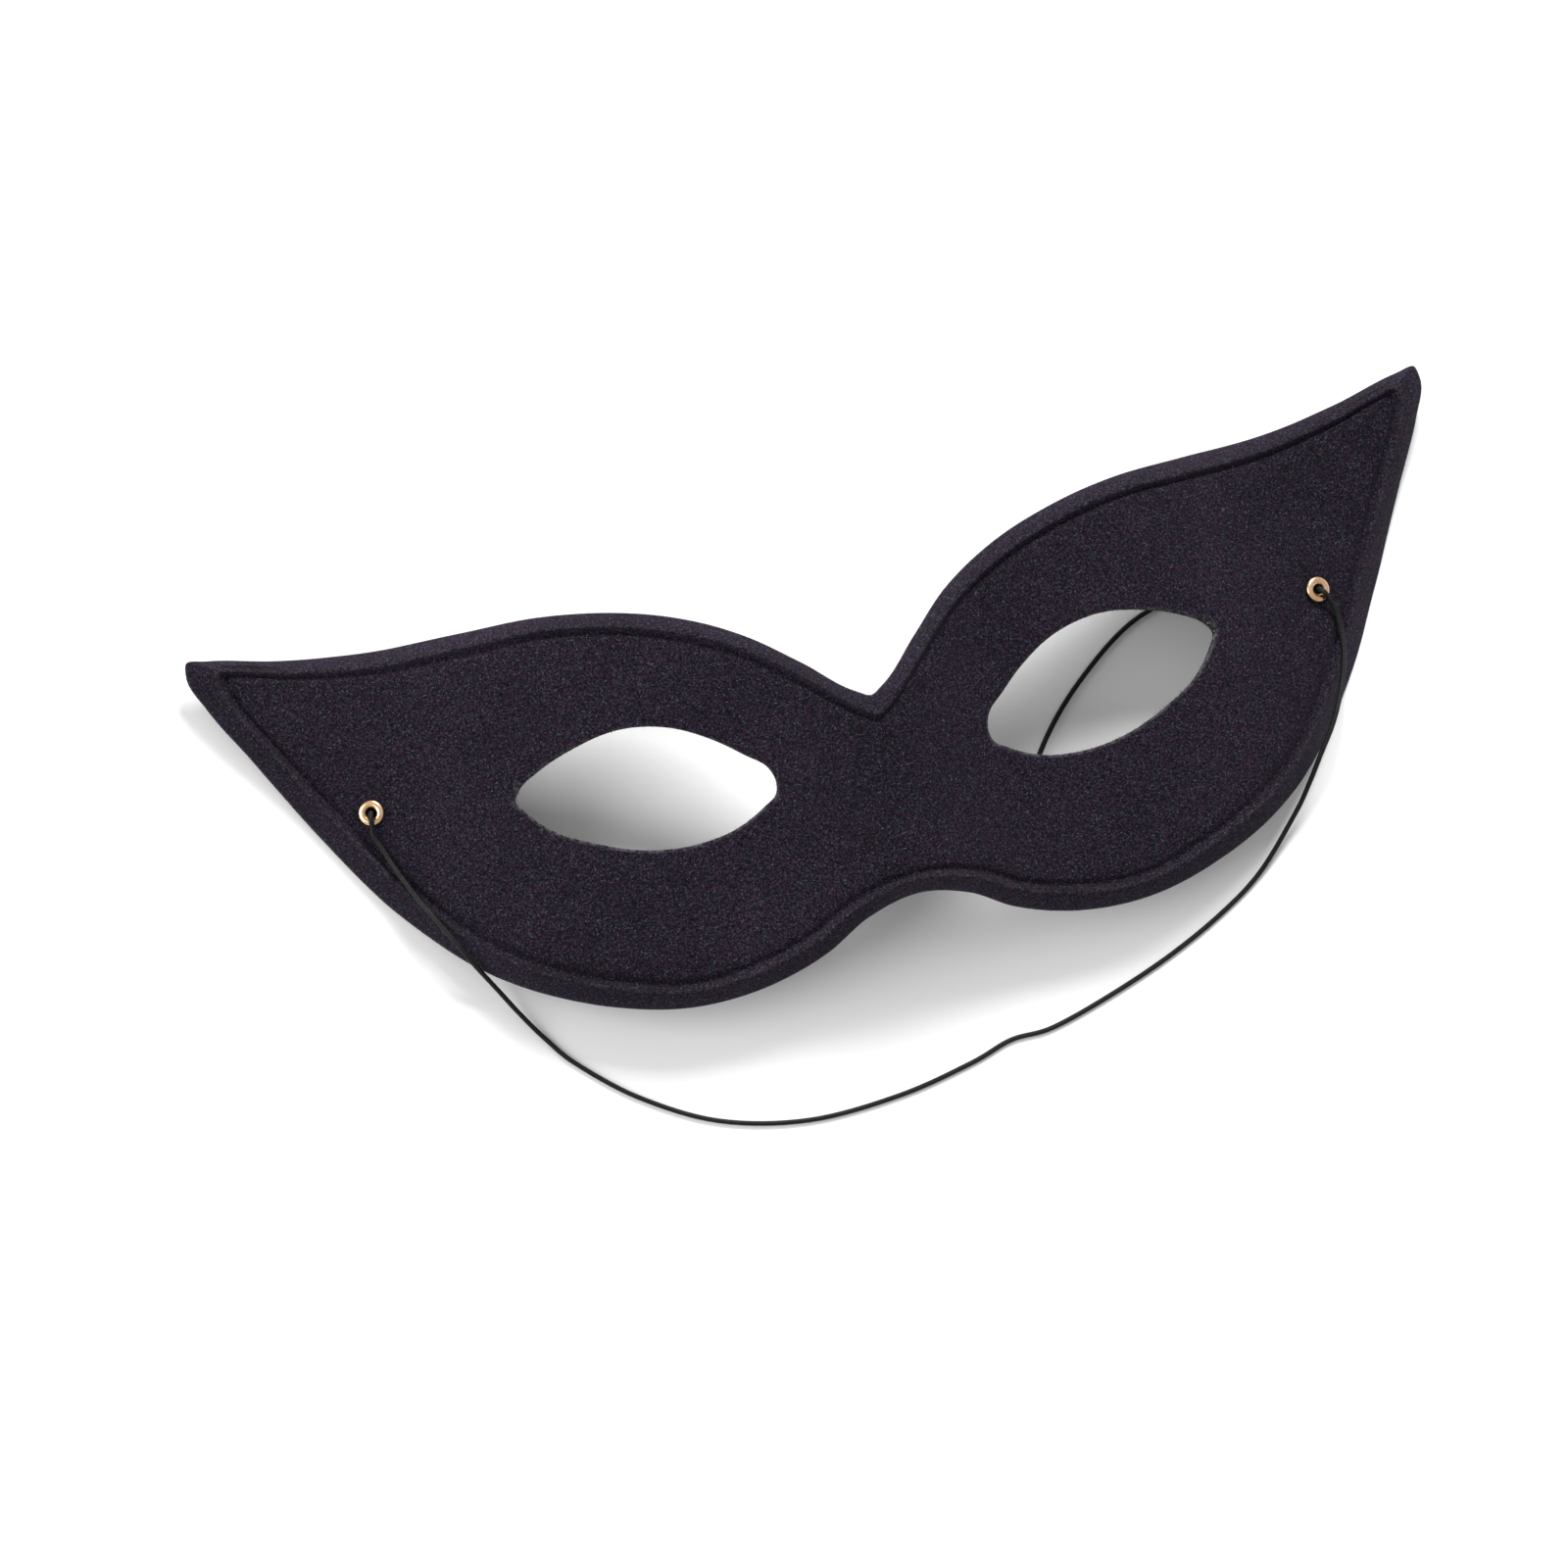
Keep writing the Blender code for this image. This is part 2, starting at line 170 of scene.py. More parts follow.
# Loose end of the cord behind the mask, from the right knot
# columns: x, y, z in metres
TAIL = [
    (0.0744, 0.0062, 0.0011),
    (0.0710, 0.0074, 0.0005),
    (0.0606, 0.0103, 0.0004),
    (0.0485, 0.0085, 0.0004),
    (0.0365, 0.0004, 0.0004),
    (0.0278, -0.0089, 0.0004),
    (0.0229, -0.0185, 0.0004),
]

# One half of the rim seen square on, and the pressed line inside it
# columns: where, out as a share of HALF_SPAN, up as a share of HEIGHT, then the pressed line
# from the edge, out and up, as shares of BORDER_WIDTH
RIM = [
    ("brow notch", 0.0, 0.0, 0.0, -1.05),
    ("notch corner", 0.02, 0.015, -0.1, -1.1),
    ("notch side", 0.09, 0.105, 0.5, -0.55),
    ("brow start", 0.16, 0.19, 0.45, -0.65),
    ("brow", 0.255, 0.265, 0.4, -0.75),
    ("brow", 0.35, 0.31, 0.2, -0.8),
    ("brow crown", 0.47, 0.34, 0.05, -0.8),
    ("wing top", 0.585, 0.345, 0.0, -0.85),
    ("wing top", 0.72, 0.35, -0.1, -0.85),
    ("wing top", 0.86, 0.38, -0.3, -0.8),
    ("tip top", 0.965, 0.415, -1.15, -0.9),
    ("tip", 0.995, 0.42, -1.4, -0.9),
    ("tip side", 1.0, 0.39, -1.45, -0.65),
    ("wing side", 0.98, 0.31, -1.15, 0.05),
    ("wing side", 0.93, 0.175, -1.0, 0.4),
    ("temple", 0.855, -0.025, -1.05, 0.45),
    ("temple", 0.77, -0.225, -0.95, 0.6),
    ("cheek", 0.645, -0.42, -0.65, 0.85),
    ("cheek", 0.505, -0.53, -0.4, 1.0),
    ("lobe", 0.36, -0.58, -0.1, 0.95),
    ("lobe", 0.245, -0.57, 0.2, 1.0),
    ("nose arch", 0.15, -0.53, 0.45, 0.9),
    ("nose arch", 0.08, -0.475, 0.35, 0.85),
    ("nose arch crown", 0.0, -0.45, 0.0, 0.85),
]

# Eyehole seen square on, from its centre, beginning at the inner corner and over the top
# columns: out as a share of EYE_HALF_LENGTH, up as a share of EYE_HALF_HEIGHT
EYE = [
    (-1.0, -0.35),
    (-0.97, -0.12),
    (-0.81, 0.18),
    (-0.6, 0.52),
    (-0.3, 0.85),
    (0.07, 1.0),
    (0.46, 0.88),
    (0.76, 0.66),
    (0.94, 0.44),
    (0.98, 0.3),
    (0.93, 0.12),
    (0.74, -0.3),
    (0.46, -0.62),
    (0.1, -0.9),
    (-0.3, -1.0),
    (-0.64, -0.9),
    (-0.87, -0.68),
    (-0.98, -0.52),
]

# Relief of the outer face from the midline out to the wing
# columns: out as a share of HALF_SPAN, height as a share of RELIEF_DEPTH
RELIEF = [
    (0.0, 1.0),
    (0.08, 0.93),
    (0.17, 0.77),
    (0.27, 0.68),
    (0.37, 0.64),
    (0.49, 0.57),
    (0.57, 0.48),
    (0.66, 0.32),
    (0.76, 0.16),
    (0.86, 0.06),
    (0.98, 0.03),
    (1.1, 0.04),
]

# Border section from the edge in to the pressed line
# columns: share of the border, height against the face in millimetres
BORDER = [
    (0.0, -EDGE_DROP),
    (0.07, -0.86 * EDGE_DROP),
    (0.16, -0.68 * EDGE_DROP),
    (0.27, -0.46 * EDGE_DROP),
    (0.38, -0.27 * EDGE_DROP),
    (0.48, -0.12 * EDGE_DROP),
    (0.57, 0.3 * BEAD_RISE),
    (0.65, 0.9 * BEAD_RISE),
    (0.73, BEAD_RISE),
    (0.81, 0.5 * BEAD_RISE),
    (0.88, -0.4 * GROOVE_DEPTH),
    (0.94, -0.85 * GROOVE_DEPTH),
    (1.0, -GROOVE_DEPTH),
]

# Groove's inner flank
# columns: share of the flank, height as a share of GROOVE_DEPTH
FLANK = [(0.15, -0.93), (0.35, -0.6), (0.6, -0.22), (1.0, 0.0)]

# Rings of the face from the flank to the eyehole, as shares of the way
FACE_RINGS = (0.12, 0.24, 0.36, 0.48, 0.6, 0.7, 0.79, 0.87, 0.93, 0.97, 1.0)


def add_object(name, data, material=None):
    made = bpy.data.objects.new(name, data)
    bpy.context.scene.collection.objects.link(made)
    if material:
        data.materials.append(material)
    return made


def make_camera():
    turn, rise, roll = math.radians(AZIMUTH), math.radians(ELEVATION), math.radians(ROLL)
    back = Vector((math.cos(rise) * math.sin(turn), -math.cos(rise) * math.cos(turn), math.sin(rise)))
    right = (-back).cross(Vector((0.0, 0.0, 1.0))).normalized()
    up = right.cross(-back)
    level, upright = right, up
    right = level * math.cos(roll) + upright * math.sin(roll)
    up = upright * math.cos(roll) - level * math.sin(roll)
    camera = add_object("camera", bpy.data.cameras.new("camera"))
    camera.data.sensor_width = 36.0
    camera.data.lens = 36.0 * DISTANCE / WIDTH_SEEN
    camera.data.clip_end = 50.0
    axes = Matrix((right, up, back)).transposed().to_4x4()
    camera.matrix_world = Matrix.Translation(Vector(AIM) + back * DISTANCE) @ axes
    bpy.context.scene.camera = camera


def hermite(where, values, slope, at):
    """Values at places on smooth cubic pieces through the given ones."""
    place = np.clip(np.searchsorted(where, at, side="right") - 1, 0, len(where) - 2)
    width = where[place + 1] - where[place]
    part = (at - where[place]) / width
    if values.ndim > 1:
        part = part[:, None]
        width = width[:, None]
    blend = 3.0 * part**2 - 2.0 * part**3
    lead = width * slope[place] * (part**3 - 2.0 * part**2 + part)
    trail = width * slope[place + 1] * (part**3 - part**2)
    return values[place] * (1.0 - blend) + values[place + 1] * blend + lead + trail


def smooth_run(points, count, closed=False):
    """Points spaced evenly along a smooth line through the given ones."""
    knots = np.array(points, float)
    if closed:
        knots = np.vstack([knots[-2:], knots, knots[:3]])
    where = np.concatenate([[0.0], np.cumsum(np.linalg.norm(np.diff(knots, axis=0), axis=1))])
    slope = np.gradient(knots, where, axis=0)
    first, last = (where[2], where[-3]) if closed else (where[0], where[-1])
    line = hermite(where, knots, slope, np.linspace(first, last, 40 * len(knots)))
    run = np.concatenate([[0.0], np.cumsum(np.linalg.norm(np.diff(line, axis=0), axis=1))])
    wanted = np.linspace(0.0, run[-1], count + 1 if closed else count)
    if closed:
        wanted = wanted[:-1]
    return np.stack([np.interp(wanted, run, line[:, i]) for i in range(line.shape[1])], axis=1)


def face_height(x, y):
    """Height of the outer face, square-on frame, for arrays of places."""
    table = np.array(RELIEF) * (HALF_SPAN, RELIEF_DEPTH)
    slope = np.gradient(table[:, 1], table[:, 0])
    slope[0] = 0.0
    outward = np.abs(x)
    lift = CHEEK_LIFT * y * np.clip((outward / HALF_SPAN - 0.2) / 0.4, 0.0, 1.0)
    at = np.clip(outward + lift, 0.0, table[-1, 0])
    return hermite(table[:, 0], table[:, 1], slope, at)


def face_normal(x, y):
    step = SLOPE_STEP
    across = (face_height(x + step, y) - face_height(x - step, y)) / (2.0 * step)
    along = (face_height(x, y + step) - face_height(x, y - step)) / (2.0 * step)
    normal = np.stack([-across, -along, np.ones_like(across)], axis=1)
    return normal / np.linalg.norm(normal, axis=1)[:, None]


def lean(y, z):
    """From the square-on frame to the leaning mask."""
    tilt = math.radians(REST_TILT_DEG)
    return y * math.cos(tilt) - z * math.sin(tilt), y * math.sin(tilt) + z * math.cos(tilt)


def rim_lines(count):
    """Even stations on the edge and, matched to them, on the pressed line."""
    shares = np.array([row[1:] for row in RIM])
    outer = shares[:, :2] * (HALF_SPAN, HEIGHT)
    both = np.hstack([outer, outer + shares[:, 2:] * BORDER_WIDTH])
    where = np.concatenate([[0.0], np.cumsum(np.hypot(*np.diff(outer, axis=0).T))])
    slope = np.gradient(both, where, axis=0)
    for end in (0, -1):
        slope[end, 1] = 0.0
        slope[end, 3] = 0.0
    at = np.linspace(0.0, where[-1], count)
    tip = where[[i for i, row in enumerate(RIM) if row[0] == "tip"][0]]
    at = at + TIP_PULL * np.exp(-(((at - tip) / TIP_REACH) ** 2)) * np.tanh((tip - at) / TIP_EASE)
    line = hermite(where, both, slope, at)
    line[0, [0, 2]] = 0.0
    line[-1, [0, 2]] = 0.0
    return line[:, :2], line[:, 2:]


def rest_place():
    """Shift that centres the leaning rim, and rise that brings its lowest edge to the table."""
    edge, _ = rim_lines(REST_STATIONS)
    flat, height = lean(edge[:, 1], face_height(edge[:, 0], edge[:, 1]) - EDGE_DROP)
    return -(flat.min() + flat.max()) / 2.0, EDGE_OVER_TABLE - height.min()


SHIFT, RISE = rest_place()


def to_rest(x, y, z):
    """From the square-on frame to the mask lying on its back, in metres."""
    flat, height = lean(y, z)
    return np.stack([x, flat + SHIFT, height + RISE], axis=1) * MM


def on_face(places, over):
    """Places on the outer face, raised along its slope, in metres."""
    x, y = places[:, 0], places[:, 1]
    steep = np.maximum(face_normal(x, y)[:, 2], 0.8)
    return to_rest(x, y, face_height(x, y) + over / steep)


def eye_line(stations):
    """Point of the eyehole's edge in the direction of each station."""
    centre = np.array([EYE_OUT, -EYE_DOWN])
    half = np.array([EYE_HALF_LENGTH, EYE_HALF_HEIGHT])
    loop = smooth_run(np.array(EYE) * half + centre, EYE_STATIONS, closed=True)
    turn = np.arctan2((loop[:, 1] - centre[1]) / half[1], (loop[:, 0] - centre[0]) / half[0])
    order = np.argsort(turn)
    turn, loop = turn[order], loop[order]
    wanted = np.arctan2(stations[:, 1] - centre[1], stations[:, 0] - centre[0])
    return np.stack([np.interp(wanted, turn, loop[:, i], period=2.0 * math.pi) for i in (0, 1)], axis=1)


def eyelet_frame(side):
    """Place of an eyelet, +Z out of the face."""
    x = np.array([EYELETS[side][0] * HALF_SPAN])
    y = np.array([EYELETS[side][1]])
    normal = Vector(face_normal(x, y)[0])
    axis = Matrix.Rotation(math.radians(REST_TILT_DEG), 3, "X") @ normal
    turn = axis.to_track_quat("Z", "Y").to_matrix().to_4x4()
    return Matrix.Translation(Vector(to_rest(x, y, face_height(x, y))[0])) @ turn


def knot_centre():
    """Height of a knot's centre against the face, in millimetres."""
    return -(WALL + EYELET_GAP + EYELET_BACK + CORD_CLEAR + KNOT_LENGTH / 2.0)


def cord_bend():
    """Cord through an eyelet and over its ring: out and along its axis, in millimetres."""
    ring = EYELET_GAP + EYELET_RING
    over = ring + CORD_CLEAR + CORD_D / 2.0
    behind = knot_centre() - KNOT_LENGTH / 2.0 - CORD_D / 2.0
    return [
        (0.0, behind),
        (0.0, 0.5 * behind),
        (0.0, 0.0),
        (0.0, ring),
        (0.5 * CORD_D, over - 0.3 * CORD_D),
        (0.54 * EYELET_FLANGE_R, over),
        (1.07 * EYELET_FLANGE_R, over - 0.35 * CORD_D),
    ]


def cord_route(count):
    stops = {}
    for side, first in (("left", ROUTE[0]), ("right", ROUTE[-1])):
        place = eyelet_frame(side)
        centre, axis = place.translation, place.col[2].to_3d()
        towards = Vector(first) - centre
        towards = (towards - axis * towards.dot(axis)).normalized()
        stops[side] = [tuple(centre + (towards * out + axis * along) * MM) for out, along in cord_bend()]
    knots = np.array(stops["left"] + ROUTE + stops["right"][::-1] + TAIL)
    where = np.arange(len(knots), dtype=float)
    slope = np.gradient(knots, where, axis=0)
    line = hermite(where, knots, slope, np.linspace(0.0, where[-1], count))
    line[:, 2] = np.maximum(line[:, 2], CORD_D / 2.0 * MM)
    return line


def tube(name, points, diameter, material):
    curve = bpy.data.curves.new(name, "CURVE")
    curve.dimensions = "3D"
    curve.bevel_mode = "ROUND"
    curve.bevel_depth = diameter / 2.0
    curve.bevel_resolution = TUBE_STEPS
    curve.use_fill_caps = True
    run = curve.splines.new("POLY")
    run.points.add(len(points) - 1)
    for spot, place in zip(run.points, points):
        spot.co = (*place, 1.0)
    run.use_smooth = True
    return add_object(name, curve, material)


# Materials
class Nodes:
    """A short way to wire one material's nodes."""

    def __init__(self, name):
        self.material = bpy.data.materials.new(name)
        self.material.use_nodes = True
        self.tree = self.material.node_tree
        self.shader = self.tree.nodes["Principled BSDF"]
        self.place = self.add("ShaderNodeTexCoord").outputs["Object"]

    def add(self, kind, **values):
        made = self.tree.nodes.new(kind)
        for name, value in values.items():
            setattr(made, name, value)
        return made

    def link(self, start, end):
        self.tree.links.new(start, end)

    def noise(self, scale, detail=2.0, roughness=0.5):
        made = self.add("ShaderNodeTexNoise")
        made.inputs["Scale"].default_value = scale
        made.inputs["Detail"].default_value = detail
        made.inputs["Roughness"].default_value = roughness
        self.link(self.place, made.inputs["Vector"])
        return made.outputs["Fac"]

    def ramp(self, source, stops):
        made = self.add("ShaderNodeValToRGB")
        bars = made.color_ramp.elements
        while len(bars) < len(stops):
            bars.new(0.5)
        for bar, (at, color) in zip(bars, stops):
            bar.position = at
            bar.color = (*color, 1.0)
        self.link(source, made.inputs["Fac"])
        return made.outputs["Color"]

    def mix(self, kind, share, first, second):
        made = self.add("ShaderNodeMix", data_type="RGBA", blend_type=kind)
        for socket, value in ((0, share), (6, first), (7, second)):
            if isinstance(value, (float, tuple)):
                made.inputs[socket].default_value = (*value, 1.0) if isinstance(value, tuple) else value
            else:
                self.link(value, made.inputs[socket])
        return made.outputs[2]

    def bump(self, layers):
        """Bumps one over the other: height source, strength, distance in metres."""
        last = None
        for source, strength, distance in layers:
            made = self.add("ShaderNodeBump")
            made.inputs["Strength"].default_value = strength
            made.inputs["Distance"].default_value = distance
            self.link(source, made.inputs["Height"])
            if last:
                self.link(last, made.inputs["Normal"])
            last = made.outputs["Normal"]
        self.link(last, self.shader.inputs["Normal"])


def pile_material():
    """Short dark pile with fine specks and a soft sheen, lighter where the rim's cut edge is worn, with
    painted highlight on the bead's crest and, mixed with wear, along the eyehole lip.
    """
    made = Nodes("pile")
    broad = made.noise(55.0, 3.0, 0.55)
    fine = made.noise(2900.0, 3.0, 0.7)
    speck = made.noise(3300.0, 1.0, 0.5)
    tone = made.noise(1900.0, 1.0, 0.5)
    ragged = made.noise(1300.0, 2.0, 0.6)
    base = made.ramp(broad, [(0.3, (0.0072, 0.0051, 0.0083)), (0.7, (0.0108, 0.0075, 0.0118))])
    tint = made.ramp(tone, [(0.38, (1.3, 0.82, 1.08)), (0.62, (0.78, 1.16, 1.06))])
    base = made.mix("MULTIPLY", 1.0, base, tint)
    fibre = made.ramp(fine, [(0.36, (0.12, 0.12, 0.14)), (0.5, (0.9, 0.88, 0.9)), (0.64, (3.0, 3.1, 3.3))])
    base = made.mix("MULTIPLY", 1.0, base, fibre)
    lint = made.ramp(speck, [(0.62, (0.0, 0.0, 0.0)), (0.72, (0.05, 0.065, 0.08))])
    base = made.mix("ADD", 0.7, base, lint)
    wear_and_highlight = made.add("ShaderNodeAttribute", attribute_name="wear_and_highlight").outputs["Fac"]
    broken = made.ramp(ragged, [(0.42, (0.1, 0.1, 0.1)), (0.62, (1.0, 1.0, 1.0))])
    share = made.add("ShaderNodeMath", operation="MULTIPLY")
    made.link(wear_and_highlight, share.inputs[0])
    made.link(broken, share.inputs[1])
    # Pale colour laid on the worn rim edge, on the bead's crest as painted highlight, and on the eyehole lip
    # as painted highlight with wear
    base = made.mix("MIX", share.outputs[0], base, (0.1, 0.095, 0.1))
    made.link(base, made.shader.inputs["Base Color"])
    made.shader.inputs["Roughness"].default_value = 0.92
    made.shader.inputs["Specular IOR Level"].default_value = 0.08
    made.shader.inputs["Sheen Weight"].default_value = 0.06
    made.shader.inputs["Sheen Roughness"].default_value = 0.5
    made.shader.inputs["Sheen Tint"].default_value = (0.55, 0.45, 0.68, 1.0)
    made.bump([(broad, 0.25, 0.0006), (fine, 0.8, 0.00025)])
    return made.material


def backing_material():
    """Plain brown-black backing with a faint woven grain."""
    made = Nodes("backing")
    broad = made.noise(40.0, 3.0, 0.6)
    fine = made.noise(1900.0, 2.0, 0.6)
    base = made.ramp(broad, [(0.3, (0.010, 0.0075, 0.0068)), (0.7, (0.018, 0.0135, 0.012))])
    grain = made.ramp(fine, [(0.3, (0.6, 0.6, 0.6)), (0.7, (1.4, 1.4, 1.4))])
    made.link(made.mix("MULTIPLY", 1.0, base, grain), made.shader.inputs["Base Color"])
    made.shader.inputs["Roughness"].default_value = 0.9
    made.shader.inputs["Specular IOR Level"].default_value = 0.2
    made.bump([(fine, 0.5, 0.00015)])
    return made.material


def cut_edge_material():
    """Cut edge of the wall: layered fibres with pale specks of lint."""
    made = Nodes("cut_edge")
    fine = made.noise(2300.0, 3.0, 0.7)
    speck = made.noise(1500.0, 1.0, 0.5)
    base = made.ramp(fine, [(0.35, (0.008, 0.007, 0.009)), (0.65, (0.03, 0.027, 0.032))])
    lint = made.ramp(speck, [(0.62, (0.0, 0.0, 0.0)), (0.72, (0.3, 0.27, 0.26))])
    made.link(made.mix("ADD", 0.7, base, lint), made.shader.inputs["Base Color"])
    made.shader.inputs["Roughness"].default_value = 0.95
    made.shader.inputs["Specular IOR Level"].default_value = 0.15
    made.bump([(fine, 0.8, 0.0002)])
    return made.material


def fibre_material():
    """Loose fibres, most of them dark and some pale."""
    made = Nodes("loose_fibre")
    tint = made.noise(1400.0, 1.0, 0.5)
    base = made.ramp(tint, [(0.48, (0.02, 0.016, 0.022)), (0.64, (0.2, 0.185, 0.19))])
    made.link(base, made.shader.inputs["Base Color"])
    made.shader.inputs["Roughness"].default_value = 0.9
    return made.material


def brass_material():
    made = Nodes("brass_polished")
    broad = made.noise(500.0, 3.0, 0.6)
    fine = made.noise(6000.0, 2.0, 0.6)
    base = made.ramp(broad, [(0.3, (0.78, 0.45, 0.23)), (0.7, (0.94, 0.66, 0.42))])
    rough = made.ramp(fine, [(0.3, (0.16, 0.16, 0.16)), (0.7, (0.34, 0.34, 0.34))])
    made.link(base, made.shader.inputs["Base Color"])
    made.link(rough, made.shader.inputs["Roughness"])
    made.shader.inputs["Metallic"].default_value = 1.0
    made.bump([(fine, 0.12, 0.00004)])
    return made.material


def elastic_material():
    """Black elastic with a fine braided cover."""
    made = Nodes("elastic_braid")
    broad = made.noise(220.0, 2.0, 0.5)
    weave = made.add("ShaderNodeTexVoronoi")
    weave.inputs["Scale"].default_value = 4200.0
    made.link(made.place, weave.inputs["Vector"])
    base = made.ramp(broad, [(0.3, (0.0025, 0.0022, 0.0026)), (0.7, (0.005, 0.0045, 0.005))])
    yarn = made.ramp(weave.outputs["Distance"], [(0.1, (1.5, 1.5, 1.5)), (0.7, (0.5, 0.5, 0.5))])
    made.link(made.mix("MULTIPLY", 1.0, base, yarn), made.shader.inputs["Base Color"])
    made.shader.inputs["Roughness"].default_value = 0.55
    made.shader.inputs["Specular IOR Level"].default_value = 0.25
    made.bump([(weave.outputs["Distance"], 0.5, 0.00008)])
    return made.material


def floor_material():
    made = Nodes("floor_plain")
    broad = made.noise(6.0, 2.0, 0.5)
    base = made.ramp(broad, [(0.3, (0.86, 0.86, 0.86)), (0.7, (0.89, 0.89, 0.89))])
    made.link(base, made.shader.inputs["Base Color"])
    made.shader.inputs["Roughness"].default_value = 0.8
    return made.material


make_camera()

pile = pile_material()
backing = backing_material()
cut_edge = cut_edge_material()
brass = brass_material()
elastic = elastic_material()

# Cord and its knots
line = cord_route(CORD_STATIONS)
cord = tube("elastic_line", line, CORD_D * MM, elastic)
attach(cord, "root")
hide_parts("elastic_cord")


def knot(side):
    """A small tied knot: a trefoil of the same elastic, pulled tight round the cord."""
    radius = (KNOT_R - CORD_D / 2.0) * MM
    half = (KNOT_LENGTH - CORD_D) / 2.0 * MM
    points = []
    for i in range(KNOT_STATIONS + 1):
        turn = 2.0 * math.tau * i / KNOT_STATIONS
        away = radius * (0.9 + 0.1 * math.cos(1.5 * turn))
        height = half * math.sin(1.5 * turn)
        points.append(Vector((away * math.cos(turn), away * math.sin(turn), height)))
    place = eyelet_frame(side) @ Matrix.Translation((0.0, 0.0, knot_centre() * MM))
    made = tube("tied_knot_" + side, [place @ p for p in points], CORD_D * MM, elastic)
    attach(made, "root")
    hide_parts("knot_" + side)
    return made


knots = [knot(side) for side in EYELETS]


def shell_half():
    """Grid of the outer face of one half: border, flank and face out to the eyehole, with shares of wear and
    of painted highlight.
    """
    edge, pressed = rim_lines(RIM_STATIONS)
    middle_y = np.linspace(pressed[-1, 1], pressed[0, 1], MIDLINE_STATIONS + 2)[1:-1]
    middle = np.stack([np.zeros_like(middle_y), middle_y], axis=1)
    stations = np.vstack([pressed, middle])
    holes = eye_line(stations)
    verts, faces, wear_and_highlight = [], [], []

    def ring(places, over, wear_and_highlight_share):
        first = len(verts)
        verts.extend(on_face(places, over))
        wear_and_highlight.extend([wear_and_highlight_share] * len(places))
        return list(range(first, first + len(places)))

    border = []
    for share, over in BORDER:
        # Painted highlight on the bead's crest; wear on the rim's cut edge
        wear_and_highlight_share = BEAD_HIGHLIGHT if BEAD_RISE * BEAD_TOP_SHARE < over else (EDGE_WEAR if share == 0.0 else 0.0)
        border.append(ring(edge + (pressed - edge) * share, over, wear_and_highlight_share))
    for outer, inner in zip(border, border[1:]):
        faces.extend((outer[i], outer[i + 1], inner[i + 1], inner[i]) for i in range(len(edge) - 1))

    last = border[-1] + ring(middle, 0.0, 0.0)
    run = np.linalg.norm(holes - stations, axis=1)
    flank = np.minimum(GROOVE_FLANK / run, FLANK_MOST)
    on_border = np.concatenate([np.ones(len(pressed)), np.zeros(len(middle))])
    steps = [(flank * part, rise * GROOVE_DEPTH * on_border, 0.0) for part, rise in FLANK]
    for share in FACE_RINGS:
        roll = -HOLE_DROP if share == 1.0 else (-HOLE_DROP_BEFORE if share > 0.96 else 0.0)
        # Eyehole lip: painted highlight where light falls on the rolled lip, together with wear of the cut
        # fibre
        steps.append((flank + (1.0 - flank) * share, roll, HOLE_WEAR_AND_HIGHLIGHT if share == 1.0 else 0.0))
    for part, over, wear_and_highlight_share in steps:
        places = stations + (holes - stations) * np.asarray(part)[:, None]
        inner = ring(places, over, wear_and_highlight_share)
        count = len(stations)
        faces.extend((last[i], last[(i + 1) % count], inner[(i + 1) % count], inner[i]) for i in range(count))
        last = inner
    return np.array(verts), faces, wear_and_highlight


def shell():
    """The moulded wall: both halves, thickened inwards and bored for the eyelets."""
    verts, faces, wear_and_highlight = shell_half()
    made = bmesh.new()
    # Per-vertex share of wear and of painted highlight
    layer = made.verts.layers.float.new("wear_and_highlight")
    for sign in (1.0, -1.0):
        spots = []
        for place, wear_and_highlight_share in zip(verts, wear_and_highlight):
            spot = made.verts.new((place[0] * sign, place[1], place[2]))
            spot[layer] = wear_and_highlight_share
            spots.append(spot)
        for face in faces:
            made.faces.new([spots[i] for i in face])
    bmesh.ops.remove_doubles(made, verts=made.verts, dist=0.000002)
    bmesh.ops.recalc_face_normals(made, faces=made.faces)
    if sum(face.normal.z for face in made.faces) < 0.0:
        bmesh.ops.reverse_faces(made, faces=made.faces)
    made.normal_update()
    for vert in made.verts:
        place = vert.co
        low = sum(noise.noise(place * scale) * height for scale, height in UNEVEN)
        vert.co = place + vert.normal * low * MM
    mesh = bpy.data.meshes.new("felt_shell")
    made.to_mesh(mesh)
    made.free()
    mesh.materials.append(pile)
    mesh.materials.append(backing)
    mesh.materials.append(cut_edge)
    piece = add_object("felt_shell", mesh)
    wall = piece.modifiers.new("wall", "SOLIDIFY")
    wall.thickness = WALL * MM
    wall.offset = -1.0
    wall.use_even_offset = True
    wall.use_quality_normals = True
    wall.material_offset = 1
    wall.material_offset_rim = 2
    for side in EYELETS:
        bore = bmesh.new()
        radius = (EYELET_BARREL_R + EYELET_GAP) * MM
        depth = BORE_DEPTH * MM
        bmesh.ops.create_cone(
            bore, cap_ends=True, segments=BORE_STEPS, radius1=radius, radius2=radius, depth=depth
        )
        cutter_mesh = bpy.data.meshes.new("bore_" + side)
        bore.to_mesh(cutter_mesh)
        bore.free()
        cutter = add_object("bore_" + side, cutter_mesh)
        cutter.matrix_world = eyelet_frame(side)
        cut = piece.modifiers.new("bore_" + side, "BOOLEAN")
        cut.operation = "DIFFERENCE"
        cut.solver = "EXACT"
        cut.object = cutter
    bpy.context.view_layer.update()
    deps = bpy.context.evaluated_depsgraph_get()
    whole = piece.evaluated_get(deps)
    final = bpy.data.meshes.new_from_object(whole, preserve_all_data_layers=True, depsgraph=deps)
    piece.modifiers.clear()
    piece.data = final
    for side in EYELETS:
        bpy.data.objects.remove(bpy.data.objects["bore_" + side])
    for vert in final.vertices:
        vert.co.z = max(vert.co.z, 0.0)
    for poly in final.polygons:
        poly.use_smooth = True
    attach(piece, "root")
    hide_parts("mask_shell")
    return piece


